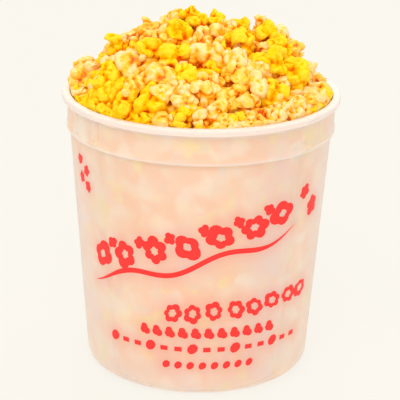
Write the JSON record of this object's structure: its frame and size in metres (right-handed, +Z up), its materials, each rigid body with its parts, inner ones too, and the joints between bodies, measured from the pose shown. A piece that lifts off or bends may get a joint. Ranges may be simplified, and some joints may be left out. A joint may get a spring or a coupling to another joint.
{
  "type": "bucket of popcorn",
  "caption": "Tapered round tub of frosted plastic with a rolled lip and stacking collar, heaped over the rim with caramel and cheese popcorn.",
  "frame": {"origin": "centre of the tub's flat base, on the surface it stands on", "axes": "+Z up along the tub's turning axis, -Y towards the tub's front"},
  "size_m": [0.19, 0.19, 0.2466],
  "materials": {
    "tub": "frosted, translucent",
    "popcorn": "dry popped corn, golden caramel and yellow cheese coatings"
  },
  "bodies": {
    "root": {"tub": "tub", "popcorn": "popcorn"}
  },
  "joints": []
}
